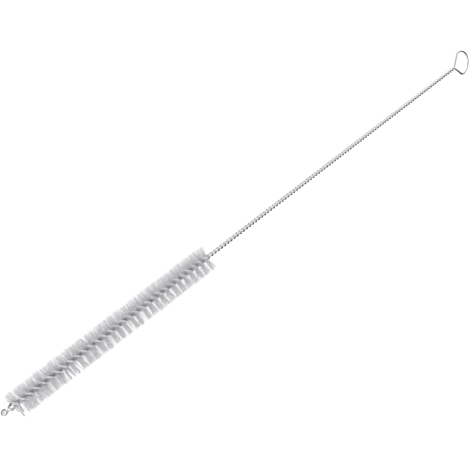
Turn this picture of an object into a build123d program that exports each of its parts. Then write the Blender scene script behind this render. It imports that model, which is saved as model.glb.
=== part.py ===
"""Bottle brush: a steel wire folded at the tip and twisted round two rows of nylon bristles.

The brush is modelled as it lies on a table. +X runs along the wire to the hanging ring,
+Z is up, and the origin is on the table, under the middle of the brush.
"""

import os
from math import atan, cos, degrees, pi, radians, sin, tan

from build123d import *

# Wire and its twist, in mm
wire_diameter = 1.0
strand_clearance = 0.12
stem_pitch = 3.87
head_pitch = 6.47
filament_gap = 0.10
gap_opening_length = 2.0
tip_bend_radius = 0.75

# Lengths along the wire, in mm
overall_length = 300.0
bare_tip_length = 4.4
bristle_length = 100.0

# Hanging ring, in mm and degrees, measured on the middle of the wire
ring_diameter = 12.5
shoulder_angle = 101.5
leg_angle = 50.5
ring_end_gap = 0.4

# Bristle rows, in mm, with the number of tufts in a turn
brush_diameter = 12.1
tip_end_diameter = 11.3
tuft_count = 14
tuft_width = 2.0
notch_depth = 1.2
notch_width = 1.2

# Facets of a turn of the wire, of its section, of the tip's bend and of the ring
turn_steps = 5
section_sides = 5
bend_steps = 4
ring_steps = 22

wire_radius = wire_diameter / 2
# A polygon with as much area as the round wire
section_radius = wire_radius * (2 * pi / section_sides / sin(2 * pi / section_sides)) ** 0.5
# A strand's straight steps cut inside its helix, so its corners stand further out
step_angle = 2 * pi / turn_steps
stem_strand_radius = (wire_radius + strand_clearance / 2) / cos(step_angle / 2)
head_strand_radius = stem_strand_radius + filament_gap / 2

# Places along the axis of the wire, from the outermost point of the tip
bend_start = wire_radius + tip_bend_radius
head_start = bare_tip_length
head_end = head_start + bristle_length
ring_radius = ring_diameter / 2
ring_centre = overall_length - wire_radius - ring_radius
shoulder_x = ring_centre + ring_radius * cos(radians(shoulder_angle))
shoulder_y = ring_radius * sin(radians(shoulder_angle))
neck = shoulder_x - (shoulder_y - stem_strand_radius) / tan(radians(leg_angle))

# Whole steps of the twist in the stem, the head and the bare tip, counted from the neck
stem_steps = round((neck - head_end) / stem_pitch * turn_steps)
head_steps = round(bristle_length / head_pitch * turn_steps)
tip_steps = max(2, round((head_start - bend_start) / stem_pitch * turn_steps))
all_steps = stem_steps + head_steps + tip_steps


def station(step):
    """Place along the axis after a number of steps of the twist from the neck."""
    if step <= stem_steps:
        return neck + (head_end - neck) * step / stem_steps
    if step <= stem_steps + head_steps:
        return head_end + (head_start - head_end) * (step - stem_steps) / head_steps
    return head_start + (bend_start - head_start) * (step - stem_steps - head_steps) / tip_steps


def strand_radius(x):
    """Distance of a strand from the axis: the filaments in the head hold the strands apart."""
    inside = min(x - head_start, head_end - x) / gap_opening_length
    opening = min(max(inside, 0), 1)
    return stem_strand_radius + (head_strand_radius - stem_strand_radius) * opening


def strand_point(step, side):
    """Centre of a strand, on side 1 or -1 of the wire; the strands lie flat at the neck."""
    x = station(step)
    radius = side * strand_radius(x)
    angle = -step * step_angle
    return (x, radius * cos(angle), radius * sin(angle))


def bend_point(turn):
    """Centre of the wire round the fold at the tip, which turns from 0 to 180 degrees."""
    across = tip_bend_radius * cos(radians(turn))
    angle = -all_steps * step_angle
    x = bend_start - tip_bend_radius * sin(radians(turn))
    return (x, across * cos(angle), across * sin(angle))


def ring_point(angle):
    """Centre of the wire round the ring, from the far end at 0 degrees."""
    x = ring_centre + ring_radius * cos(radians(angle))
    return (x, ring_radius * sin(radians(angle)), 0)


def filament_angle(x):
    """Direction of the filaments at a place in the head: halfway between the two strands."""
    step = stem_steps + head_steps * (head_end - x) / bristle_length
    return pi / 2 - step * step_angle


# The wire starts at its cut end, runs round the ring and down one leg to the neck, twists
# to the tip, folds there and comes back along the other side to the second leg
gap_angle = degrees(ring_end_gap / ring_radius)
ring_turn = 2 * shoulder_angle - gap_angle
route = [ring_point(shoulder_angle - gap_angle - ring_turn * k / ring_steps) for k in range(ring_steps + 1)]
route += [strand_point(step, -1) for step in range(all_steps)]
route += [bend_point(180 - 180 * k / bend_steps) for k in range(bend_steps + 1)]
route += [strand_point(step, 1) for step in range(all_steps - 1, -1, -1)]
route += [(shoulder_x, shoulder_y, 0)]

with BuildPart() as wire:
    with BuildLine() as wire_route:
        Polyline(*route)
    first_run = Vector(route[1]) - Vector(route[0])
    with BuildSketch(Plane(origin=route[0], z_dir=first_run)):
        RegularPolygon(section_radius, section_sides)
    sweep(path=wire_route.wire(), transition=Transition.RIGHT)

# Each filament crosses the axis between the strands, so the filaments stand in two rows that
# wind round the wire and fan out along it; notches part a row's rim into tufts
row_start = head_start + tuft_width / 2
row_end = head_end - tuft_width / 2
row_turns = (row_end - row_start) / bristle_length * head_steps / turn_steps
section_count = 2 * round(row_turns * tuft_count)


def row_section(index, side):
    """Corners of a row's wedge: on the axis and at both edges of the rim. Even ones are notches."""
    along = index / section_count
    x = row_start + (row_end - row_start) * along
    reach = (tip_end_diameter + (brush_diameter - tip_end_diameter) * along) / 2
    width = tuft_width
    if index % 2 == 0:
        reach -= notch_depth
        width = notch_width
    angle = filament_angle(x)
    rim_y = side * reach * cos(angle)
    rim_z = side * reach * sin(angle)
    return (x, 0, 0), (x - width / 2, rim_y, rim_z), (x + width / 2, rim_y, rim_z)


def row_facets(side):
    """Flat triangles that close a row: its two flanks, its rim and its two ends."""
    sections = [row_section(index, side) for index in range(section_count + 1)]
    facets = [sections[0], sections[-1]]
    for before, after in zip(sections, sections[1:]):
        for edge in range(3):
            follower = (edge + 1) % 3
            facets.append((before[edge], before[follower], after[edge]))
            facets.append((after[edge], before[follower], after[follower]))
    return facets


with BuildPart() as bristles:
    for side in (1, -1):
        facets = [Face(Wire.make_polygon(corners)) for corners in row_facets(side)]
        add(Solid(Shell(facets)))

# The brush lies on the rear edge of its head and on the stem's last turns before the ring
stem_reach = stem_strand_radius + wire_radius
rest_tilt = degrees(atan((brush_diameter / 2 - stem_reach) / (neck - row_end)))
tilted_wire = Rot(0, rest_tilt, 0) * wire.part
tilted_bristles = Rot(0, rest_tilt, 0) * bristles.part
box = tilted_wire.bounding_box().add(tilted_bristles.bounding_box())
to_origin = Pos(-box.center().X, -box.center().Y, -box.min.Z)
lying_wire = to_origin * tilted_wire
lying_wire.label = "wire"
lying_bristles = to_origin * tilted_bristles
lying_bristles.label = "bristles"

os.makedirs("parts", exist_ok=True)
export_step(lying_wire, "parts/wire.step")
export_step(lying_bristles, "parts/bristles.step")
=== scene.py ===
"""Bottle brush: a twisted steel wire and its nylon filaments, lying on a white table."""

import math

import bpy
import numpy as np
from mathutils import Matrix


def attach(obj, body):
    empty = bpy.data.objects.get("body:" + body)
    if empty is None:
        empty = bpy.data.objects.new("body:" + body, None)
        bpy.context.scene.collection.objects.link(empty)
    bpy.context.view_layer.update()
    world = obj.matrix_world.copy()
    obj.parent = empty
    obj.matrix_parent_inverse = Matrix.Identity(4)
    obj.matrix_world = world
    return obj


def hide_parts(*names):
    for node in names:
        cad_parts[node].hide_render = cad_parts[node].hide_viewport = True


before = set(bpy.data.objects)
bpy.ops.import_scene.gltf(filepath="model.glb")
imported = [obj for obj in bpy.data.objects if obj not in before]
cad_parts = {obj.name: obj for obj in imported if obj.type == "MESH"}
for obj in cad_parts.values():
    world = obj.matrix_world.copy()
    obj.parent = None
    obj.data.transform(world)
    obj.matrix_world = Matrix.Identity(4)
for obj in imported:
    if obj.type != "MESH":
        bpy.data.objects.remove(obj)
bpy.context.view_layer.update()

# Wire
# One length of bright drawn steel, about a millimetre thick: folded at the tip, twisted on
# itself round the filaments and along the stem, and bent to a ring at the far end. Sizes are
# in millimetres and degrees, and x runs along the brush from its tip.
OVERALL_LENGTH = 300.0
WIRE_RADIUS = 0.58
HEAD_START = 4.4
HEAD_END = 104.4
STEM_STRAND_RADIUS = 0.60
HEAD_STRAND_RADIUS = 0.68
GAP_OPENING_LENGTH = 3.0
TIP_BEND_RADIUS = 0.88
TIP_TURNS = 0.5
HEAD_TURNS = 15.4
STEM_TURNS = 47.15
SLACK_ANGLE = 35.0
SLACK_X = 6.0
SLACK_LENGTH = 3.5
RING_RADIUS = 6.25
SHOULDER_ANGLE = 101.5
LEG_ANGLE = 50.5
RING_GAP_ANGLE = 3.7
EASED_RADIUS = 0.45
EASED_REACH = 1.6
EASED_FADE = 1.5
MEAN_WIDTHS = 2.5
LOOSE_LOOP_X = 5.0
LOOSE_LOOP_LENGTH = 1.1
LOOSE_LOOP_RADIUS = 0.42
STATION_SPACING = 0.2
WIRE_SIDES = 12

BEND_START = WIRE_RADIUS + TIP_BEND_RADIUS
RING_CENTRE = OVERALL_LENGTH - WIRE_RADIUS - RING_RADIUS
SHOULDER_X = RING_CENTRE + RING_RADIUS * math.cos(math.radians(SHOULDER_ANGLE))
SHOULDER_Y = RING_RADIUS * math.sin(math.radians(SHOULDER_ANGLE))
NECK = SHOULDER_X - (SHOULDER_Y - STEM_STRAND_RADIUS) / math.tan(math.radians(LEG_ANGLE))

# The head is thicker than the stem, so the brush lies with its axis falling to the ring
REST_TILT = math.radians(1.5113)
TIP_PLACE = np.array([-149.926, -0.002, 8.765])
MILLIMETRE = 0.001


def turned_down(vectors):
    """Vectors of the straight brush, turned about y by the tilt at which it lies."""
    x, y, z = np.moveaxis(np.asarray(vectors, float), -1, 0)
    along = x * math.cos(REST_TILT) + z * math.sin(REST_TILT)
    upward = z * math.cos(REST_TILT) - x * math.sin(REST_TILT)
    return np.stack([along, y, upward], -1)


def laid_down(points):
    """Points of the straight brush, from millimetres at its tip to metres on the table."""
    return (turned_down(points) + TIP_PLACE) * MILLIMETRE


def unit(vectors):
    """Each vector divided by its own length."""
    return vectors / np.linalg.norm(vectors, axis=-1, keepdims=True)


def tube_points(path, radius, sides, reference):
    """Rings round a path: at each station, radius times a circle across the path's direction.

    The circle's first axis is also across the reference, which no station's direction is along.
    """
    direction = unit(np.gradient(path, axis=-2))
    first = unit(np.cross(reference, direction))
    second = np.cross(direction, first)
    turn = np.arange(sides) * 2 * math.pi / sides
    circle = np.cos(turn)[:, None] * first[..., None, :] + np.sin(turn)[:, None] * second[..., None, :]
    return path[..., None, :] + radius * circle


def tube_faces(stations, sides):
    """Squares between the rings of one tube, and a face over each end."""
    ring = np.arange(sides)
    start = np.arange(stations - 1)[:, None] * sides
    around = (ring + 1) % sides
    squares = np.stack([start + ring, start + around, start + sides + around, start + sides + ring], -1)
    return squares.reshape(-1, 4), ring[::-1], (stations - 1) * sides + ring


def add_piece(name, points, faces, node):
    """A mesh of laid-down points, which stands for a node of the frame."""
    mesh = bpy.data.meshes.new(name)
    mesh.from_pydata(laid_down(points), [], faces)
    mesh.shade_smooth()
    piece = bpy.data.objects.new(name, mesh)
    bpy.context.scene.collection.objects.link(piece)
    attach(piece, "root")
    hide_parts(node)
    return piece


def twist_angle(x):
    """Angle of the strands at x: a straight line each for stem, head and tip, level at the neck.

    The head's first turns are slack: they lag by a bell curve along x.
    """
    stem = STEM_TURNS * (NECK - x) / (NECK - HEAD_END)
    head = STEM_TURNS + HEAD_TURNS * (HEAD_END - x) / (HEAD_END - HEAD_START)
    tip = STEM_TURNS + HEAD_TURNS + TIP_TURNS * (HEAD_START - x) / (HEAD_START - BEND_START)
    turns = np.where(x > HEAD_END, stem, np.where(x > HEAD_START, head, tip))
    slack = SLACK_ANGLE / 360 * np.exp(-((x - SLACK_X) / SLACK_LENGTH) ** 2)
    return -2 * math.pi * (turns + slack)


def smooth_step(value):
    """From 0 to 1 along 3v2 - 2v3, level at both ends."""
    value = np.clip(value, 0, 1)
    return value * value * (3 - 2 * value)


def strand_path(side):
    """One strand from the neck to the tip: a helix that opens in the head and at the fold.

    Just inside the head's tip end the strands stand further apart, by a bell curve along x.
    """
    x = np.arange(NECK, BEND_START, -STATION_SPACING / 2)
    opening = smooth_step(np.minimum(x - HEAD_START, HEAD_END - x) / GAP_OPENING_LENGTH)
    folding = smooth_step((HEAD_START - x) / (HEAD_START - BEND_START))
    radius = STEM_STRAND_RADIUS + (HEAD_STRAND_RADIUS - STEM_STRAND_RADIUS) * opening
    radius += (TIP_BEND_RADIUS - STEM_STRAND_RADIUS) * folding
    radius += LOOSE_LOOP_RADIUS * np.exp(-((x - LOOSE_LOOP_X) / LOOSE_LOOP_LENGTH) ** 2)
    angle = twist_angle(x)
    return np.stack([x, side * radius * np.cos(angle), side * radius * np.sin(angle)], -1)


def arc_turns(first, last, radius):
    """Angles from first to last degrees, about a station's spacing apart on the radius."""
    count = int(abs(math.radians(last - first)) * radius / STATION_SPACING) + 2
    return np.radians(np.linspace(first, last, count))


ring_turns = arc_turns(SHOULDER_ANGLE - RING_GAP_ANGLE, -SHOULDER_ANGLE, RING_RADIUS)
ring = np.stack([RING_CENTRE + RING_RADIUS * np.cos(ring_turns), RING_RADIUS * np.sin(ring_turns),
                 np.zeros_like(ring_turns)], -1)
fold_turns = arc_turns(180, 0, TIP_BEND_RADIUS)
fold_angle = twist_angle(np.array(BEND_START))
fold_across = TIP_BEND_RADIUS * np.cos(fold_turns)
fold = np.stack([BEND_START - TIP_BEND_RADIUS * np.sin(fold_turns), fold_across * np.cos(fold_angle),
                 fold_across * np.sin(fold_angle)], -1)
second_leg_end = np.array([[SHOULDER_X, SHOULDER_Y, 0]])
corner_path = np.concatenate([ring, strand_path(-1), fold, strand_path(1)[::-1], second_leg_end])


def evenly_spaced(path, spacing):
    """The path's points again, at even distances along it, and those distances."""
    run = np.concatenate([[0], np.cumsum(np.linalg.norm(np.diff(path, axis=0), axis=1))])
    stops = np.linspace(0, run[-1], int(run[-1] / spacing) + 1)
    return np.stack([np.interp(stops, run, path[:, axis]) for axis in range(3)], -1), stops


def eased(path, stops, corners):
    """The path with each corner rounded: near a corner a point moves to its neighbours' mean.

    The neighbours count by a bell curve of their distance along the path, and the move fades
    out by the smooth step of the distance to the corner.
    """
    reach = int(MEAN_WIDTHS * EASED_RADIUS / STATION_SPACING)
    offsets = np.arange(-reach, reach + 1)
    weights = np.exp(-0.5 * (offsets * STATION_SPACING / EASED_RADIUS) ** 2)
    weights /= weights.sum()
    padded = np.concatenate([path[:1]] * reach + [path] + [path[-1:]] * reach)
    mean = sum(weight * padded[k:k + len(path)] for k, weight in enumerate(weights))
    distance = np.min([np.abs(stops - stops[np.argmin(np.linalg.norm(path - corner, axis=1))])
                       for corner in corners], axis=0)
    share = smooth_step(EASED_FADE - distance / EASED_REACH)[:, None]
    return path + (mean - path) * share


wire_path, wire_stops = evenly_spaced(corner_path, STATION_SPACING)
wire_corners = [ring[-1], strand_path(-1)[0], strand_path(1)[0], fold[0], fold[-1]]
wire_path = eased(wire_path, wire_stops, wire_corners)
squares, first_end, last_end = tube_faces(len(wire_path), WIRE_SIDES)
wire_points = tube_points(wire_path, WIRE_RADIUS, WIRE_SIDES, [0, 0, 1])
wire = add_piece("twisted_wire", wire_points.reshape(-1, 3),
                 [*squares.tolist(), first_end.tolist(), last_end.tolist()], "wire")


class Socket:
    """A socket of a shader tree; sums and products of sockets add Math nodes to the tree."""

    def __init__(self, tree, socket):
        self.tree = tree
        self.socket = socket

    def math(self, operation, *values):
        """A Math node of this operation on the values, numbers or sockets."""
        return self.node("ShaderNodeMath", {"operation": operation}, dict(enumerate(values)))

    def node(self, kind, settings, inputs, output=0):
        """A node of this kind, its settings made first, then its inputs by name or number."""
        made = self.tree.nodes.new(kind)
        for key, value in settings.items():
            setattr(made, key, value)
        for key, value in inputs.items():
            if isinstance(value, Socket):
                self.tree.links.new(value.socket, made.inputs[key])
            else:
                made.inputs[key].default_value = value
        return Socket(self.tree, made.outputs[output])

    def __add__(self, other):
        return self.math("ADD", self, other)

    def __mul__(self, other):
        return self.math("MULTIPLY", self, other)

    __radd__ = __add__
    __rmul__ = __mul__


def new_material(name):
    """A material with an empty tree, and the socket of its object coordinates."""
    material = bpy.data.materials.new(name)
    material.use_nodes = True
    tree = material.node_tree
    tree.nodes.clear()
    coordinates = tree.nodes.new("ShaderNodeTexCoord")
    return material, Socket(tree, coordinates.outputs["Object"])


def finish_material(place, surface):
    """Links the surface to the material's output."""
    output = place.tree.nodes.new("ShaderNodeOutputMaterial")
    place.tree.links.new(surface.socket, output.inputs["Surface"])


# Drawing leaves the steel bright, with a fine grain and a slight unevenness in its gloss
STEEL_COLOUR = (0.88, 0.89, 0.90, 1)
STEEL_ROUGHNESS = 0.12
ROUGHNESS_SPREAD = 0.12
GRAIN_SCALE = 2600.0
GRAIN_DEPTH = 0.00003
PATCH_SCALE = 90.0

steel, place = new_material("drawn_steel")
grain = place.node("ShaderNodeTexNoise", {}, {"Vector": place, "Scale": GRAIN_SCALE, "Detail": 2.0})
patches = place.node("ShaderNodeTexNoise", {}, {"Vector": place, "Scale": PATCH_SCALE, "Detail": 3.0})
grain_bump = place.node("ShaderNodeBump", {}, {
    "Height": grain, "Strength": 0.12, "Distance": GRAIN_DEPTH})
steel_surface = place.node("ShaderNodeBsdfPrincipled", {}, {
    "Base Color": STEEL_COLOUR, "Metallic": 1.0,
    "Roughness": patches * ROUGHNESS_SPREAD + STEEL_ROUGHNESS, "Normal": grain_bump})
finish_material(place, steel_surface)
wire.data.materials.append(steel)

# Bristles
# Several thousand straight nylon filaments, each clamped between the two strands at its
# middle. The twist turns them into two helical rows, and the press of the wire fans them out.
FILAMENT_COUNT = 3600
FILAMENT_RADIUS = 0.055
FILAMENT_SIDES = 4
STATION_SHARES = np.array([-1, -0.62, -0.22, 0, 0.22, 0.62, 1])
FAN_POWER = 0.7
TIP_END_REACH = 5.5
RING_END_REACH = 5.9
TIP_END_MARGIN = 1.0
RING_END_MARGIN = 0.4
ROW_HALF_WIDTH = 1.5
SIDEWAYS_SPREAD = 0.35
LENGTH_SPREAD = 0.1
LAYER_HALF_WIDTH = 0.08
BUNDLE_SIZE = 24
BUNDLE_SHIFT = 0.35
BUNDLE_LENGTH_SPREAD = 0.16
LOWER_REACH = 0.3

chance = np.random.default_rng(12)
along = (np.arange(FILAMENT_COUNT) + chance.random(FILAMENT_COUNT)) / FILAMENT_COUNT
row_length = HEAD_END - HEAD_START - TIP_END_MARGIN - RING_END_MARGIN
middle_x = HEAD_START + TIP_END_MARGIN + along * row_length
filament_angle = twist_angle(middle_x) + math.pi / 2
reach = TIP_END_REACH + (RING_END_REACH - TIP_END_REACH) * along
layer = chance.uniform(-LAYER_HALF_WIDTH, LAYER_HALF_WIDTH, FILAMENT_COUNT)
bundle = np.arange(FILAMENT_COUNT) // BUNDLE_SIZE


def two_ends(spread):
    """A random value for each filament's two ends, the first end's in the first column."""
    return chance.uniform(-spread, spread, (FILAMENT_COUNT, 2))


def two_bundle_ends(spread):
    """A random value for the two ends of each bundle of neighbours, which cling together."""
    return chance.uniform(-spread, spread, (bundle[-1] + 1, 2))[bundle]


# Where the ends have parted, the head shows a notch: its x, and the side that it faces
LOWER_SIDE = 151.3
UPPER_SIDE = -28.7
PARTINGS = [(29.0, LOWER_SIDE), (33.0, LOWER_SIDE), (59.5, LOWER_SIDE), (65.7, LOWER_SIDE),
            (41.0, UPPER_SIDE)]
PARTING_SHIFT = 0.75
PARTING_REACH = 0.9
LOOSE_TUFTS_END = 8.6
LOOSE_TUFT_SPACING = 0.9
LOOSE_TUFT_SPREAD = 0.28
TIP_LEAN = 1.2
LEAN_REACH = 1.5

end_angle = filament_angle[:, None] + np.array([math.pi, 0])


def facing_share(side):
    """How far each end points to a side, in degrees from y towards z: the cosine, or 0 if less."""
    return np.clip(np.cos(end_angle - math.radians(side)), 0, 1)


loose = (middle_x < LOOSE_TUFTS_END)[:, None] & (facing_share(LOWER_SIDE) > 0.2)
end_shift = two_ends(ROW_HALF_WIDTH) + two_bundle_ends(BUNDLE_SHIFT)
end_shift -= TIP_LEAN * np.exp((middle_x[0] - middle_x) / LEAN_REACH)[:, None] * facing_share(UPPER_SIDE)
end_reach = reach[:, None] + two_ends(LENGTH_SPREAD) + two_bundle_ends(BUNDLE_LENGTH_SPREAD)
end_reach += LOWER_REACH * (facing_share(LOWER_SIDE) - facing_share(UPPER_SIDE))
end_sideways = two_ends(SIDEWAYS_SPREAD)

# At the tip's lower side the loose ends cling to a few thin tufts: each end moves to its
# tuft's x, and turns about the axis as the row does over that distance.
row_turn = 2 * math.pi * HEAD_TURNS / (HEAD_END - HEAD_START)
to_tuft = (np.round(middle_x / LOOSE_TUFT_SPACING) * LOOSE_TUFT_SPACING - middle_x)[:, None]
turned_sideways = end_reach * np.sin(row_turn * to_tuft) * np.array([-1, 1])
end_reach = np.where(loose, end_reach * np.cos(row_turn * to_tuft), end_reach)
jitter = LOOSE_TUFT_SPREAD / ROW_HALF_WIDTH
end_shift = np.where(loose, to_tuft + end_shift * jitter, end_shift)
end_sideways = np.where(loose, turned_sideways + end_sideways * jitter, end_sideways)
for parting_x, parting_angle in PARTINGS:
    away = middle_x[:, None] + end_shift - parting_x
    end_shift += (np.sign(away) * PARTING_SHIFT * facing_share(parting_angle)
                  * np.exp(-np.abs(away) / PARTING_REACH))


def at_stations(end_values):
    """Each filament's values at its stations: the first end's before its middle, then the second's."""
    return np.where(STATION_SHARES < 0, end_values[:, :1], end_values[:, 1:])


fan = np.abs(STATION_SHARES) ** FAN_POWER
outward = STATION_SHARES * at_stations(end_reach)
lengthwise = middle_x[:, None] + at_stations(end_shift) * fan
sideways = layer[:, None] + at_stations(end_sideways) * fan
cosine = np.cos(filament_angle)[:, None]
sine = np.sin(filament_angle)[:, None]
filament_paths = np.stack([lengthwise, outward * cosine - sideways * sine,
                           outward * sine + sideways * cosine], -1)
filament_points = tube_points(filament_paths, FILAMENT_RADIUS, FILAMENT_SIDES, [1, 0, 0])
squares, first_end, last_end = tube_faces(len(STATION_SHARES), FILAMENT_SIDES)
one_filament = np.concatenate([squares, [first_end], [last_end]])
starts = np.arange(FILAMENT_COUNT) * len(STATION_SHARES) * FILAMENT_SIDES
filament_faces = (starts[:, None, None] + one_filament).reshape(-1, 4)
bristles = add_piece("nylon_filaments", filament_points.reshape(-1, 3), filament_faces.tolist(),
                     "bristles")

# The nylon has no dye: it is white and lets some light through, with a faint tint that drifts
NYLON_COOL = (0.95, 0.97, 0.97, 1)
NYLON_WARM = (0.98, 0.94, 0.99, 1)
NYLON_ALPHA = 0.6
DRIFT_SCALE = 110.0

nylon, place = new_material("clear_nylon")
drift = place.node("ShaderNodeTexNoise", {}, {"Vector": place, "Scale": DRIFT_SCALE, "Detail": 1.0})
tint = place.node("ShaderNodeMix", {"data_type": "RGBA"}, {
    0: drift, 6: NYLON_COOL, 7: NYLON_WARM}, output=2)
nylon_surface = place.node("ShaderNodeBsdfPrincipled", {}, {
    "Base Color": tint, "Roughness": 0.38, "IOR": 1.53, "Alpha": NYLON_ALPHA})
finish_material(place, nylon_surface)
bristles.data.materials.append(nylon)

# Table and light
# The photograph's white ground: a pale table that shows white, under a soft lamp on the brush's
# +y side. Dark and grey cards round the brush give the wire its dark edges; only reflections
# see them, and the lamp is hidden from reflections.
WHITE_STRENGTH = 1.0
WORLD_STRENGTH = 0.75
TABLE_GLOW = 0.42
TABLE_REACH = 2.0
LAMP_PLACE = (-0.2, 1.1, 0.5)
LAMP_SIZE = (0.5, 0.4)
LAMP_POWER = 5.0


def stage_board(name, first_edge, second_edge, material):
    """A board that isn't part of the brush: one square between each two points of its two edges."""
    count = len(first_edge)
    mesh = bpy.data.meshes.new(name)
    mesh.from_pydata(first_edge + second_edge, [],
                     [(k, k + 1, count + k + 1, count + k) for k in range(count - 1)])
    mesh.materials.append(material)
    board = bpy.data.objects.new(name, mesh)
    bpy.context.scene.collection.objects.link(board)
    return board


def seen_share(tree):
    """A socket that is 1 for a ray from the camera, or from a glossy or clear surface."""
    ray = tree.nodes.new("ShaderNodeLightPath")
    kinds = [Socket(tree, ray.outputs[kind]) for kind in
             ("Is Camera Ray", "Is Glossy Ray", "Is Transmission Ray")]
    return kinds[0] + kinds[1] + kinds[2]


table_white, place = new_material("table_white")
table_colour = place.node("ShaderNodeBsdfDiffuse", {}, {"Color": (0.9, 0.9, 0.9, 1)})
table_glow = place.node("ShaderNodeEmission", {}, {
    "Color": (1, 1, 1, 1), "Strength": seen_share(place.tree) * TABLE_GLOW})
table_surface = place.node("ShaderNodeAddShader", {}, {0: table_colour, 1: table_glow})
finish_material(place, table_surface)
stage_board("table", [(-TABLE_REACH, -TABLE_REACH, 0), (TABLE_REACH, -TABLE_REACH, 0)],
            [(-TABLE_REACH, TABLE_REACH, 0), (TABLE_REACH, TABLE_REACH, 0)], table_white)

# Profiles in y and z of the cards along the brush, and the ends in x between which they run
LOW_CARD = [(-0.0075, 0.0003), (-0.16, 0.10)]
HIGH_CARD = [(-0.16, 0.10), (-0.30, 0.30), (-0.30, 0.55), (-0.15, 0.72), (0.02, 0.75)]
UPPER_CARD = [(0.012, 0.0003), (0.05, 0.009), (0.10, 0.022)]
TIP_SIDE_CARD = [(0.008, 0.0003), (0.10, 0.05)]
TIP_ENDS = (-0.8, -0.1445)
LOW_CARD_ENDS = (-0.045, 1.6)
HIGH_CARD_ENDS = (0.03, 1.6)
UPPER_CARD_ENDS = (-0.045, 0.12)

# Two edges each, in x, y and z, of the cards past the tip, beyond the camera and overhead
TIP_END_CARD = [[(-0.156, -0.1, 0.0003), (-0.156, 0.1, 0.0003)],
                [(-0.25, -0.1, 0.05), (-0.25, 0.1, 0.05)]]
FAR_CARD = [[(-0.6, 0.35, 0.05), (-0.6, 0.35, 0.6)], [(-0.6, 1.2, 0.05), (-0.6, 1.2, 0.6)]]
OVERHEAD_CARD = [[(-0.6, 0.25, 0.95), (0.1, 0.25, 0.95)], [(-0.6, 0.85, 0.95), (0.1, 0.85, 0.95)]]

card_black, place = new_material("card_black")
finish_material(place, place.node("ShaderNodeBsdfDiffuse", {}, {"Color": (0.05, 0.05, 0.05, 1)}))
card_grey, place = new_material("card_grey")
finish_material(place, place.node("ShaderNodeBsdfDiffuse", {}, {"Color": (0.5, 0.5, 0.5, 1)}))


def side_card(name, profile, ends, material):
    """A card of this profile of y and z, between two ends in x."""
    return stage_board(name, *[[(x, y, z) for y, z in profile] for x in ends], material)


cards = [side_card("low_card", LOW_CARD, LOW_CARD_ENDS, card_black),
         side_card("tip_card", LOW_CARD, TIP_ENDS, card_black),
         side_card("high_card", HIGH_CARD, HIGH_CARD_ENDS, card_black),
         side_card("upper_card", UPPER_CARD, UPPER_CARD_ENDS, card_grey),
         side_card("tip_side_card", TIP_SIDE_CARD, TIP_ENDS, card_black),
         stage_board("tip_end_card", *TIP_END_CARD, card_black),
         stage_board("far_card", *FAR_CARD, card_black),
         stage_board("overhead_card", *OVERHEAD_CARD, card_grey)]
for card in cards:
    card.visible_camera = False
    card.visible_diffuse = False
    card.visible_shadow = False
    card.visible_transmission = False

world = bpy.data.worlds.new("studio")
world.use_nodes = True
studio = world.node_tree.nodes["Background"]
studio.inputs["Color"].default_value = (1, 1, 1, 1)
world_strength = seen_share(world.node_tree) * (WHITE_STRENGTH - WORLD_STRENGTH) + WORLD_STRENGTH
world.node_tree.links.new(world_strength.socket, studio.inputs["Strength"])
bpy.context.scene.world = world

lamp_data = bpy.data.lights.new("soft_box", "AREA")
lamp_data.shape = "RECTANGLE"
lamp_data.size, lamp_data.size_y = LAMP_SIZE
lamp_data.energy = LAMP_POWER
lamp = bpy.data.objects.new("soft_box", lamp_data)
lamp.location = LAMP_PLACE
lamp.rotation_euler = lamp.location.to_track_quat("Z", "Y").to_euler()
lamp.visible_glossy = False
bpy.context.scene.collection.objects.link(lamp)

# Camera
# Fitted to the photograph's ring, the spacing of the twist and the ends of the head. It stands
# near the tip, so that the far ring looks small.
CAMERA_FROM_TIP = [2.4, 130.0, 238.0]
CAMERA_RIGHT = [0.726, -0.381, 0.570]
CAMERA_UP = [0.556, 0.812, -0.165]
CAMERA_LENS = 50.4
CAMERA_SENSOR = 36.0

right = unit(turned_down(CAMERA_RIGHT))
back = unit(np.cross(right, turned_down(CAMERA_UP)))
upright = np.cross(back, right)
camera_data = bpy.data.cameras.new("camera")
camera_data.lens = CAMERA_LENS
camera_data.sensor_width = CAMERA_SENSOR
camera_data.clip_start = 0.01
camera = bpy.data.objects.new("camera", camera_data)
turned = Matrix([list(row) for row in np.stack([right, upright, back], 1)]).to_4x4()
camera.matrix_world = Matrix.Translation(laid_down(CAMERA_FROM_TIP).tolist()) @ turned
bpy.context.scene.collection.objects.link(camera)
bpy.context.scene.camera = camera
bpy.context.scene.view_settings.view_transform = "Standard"
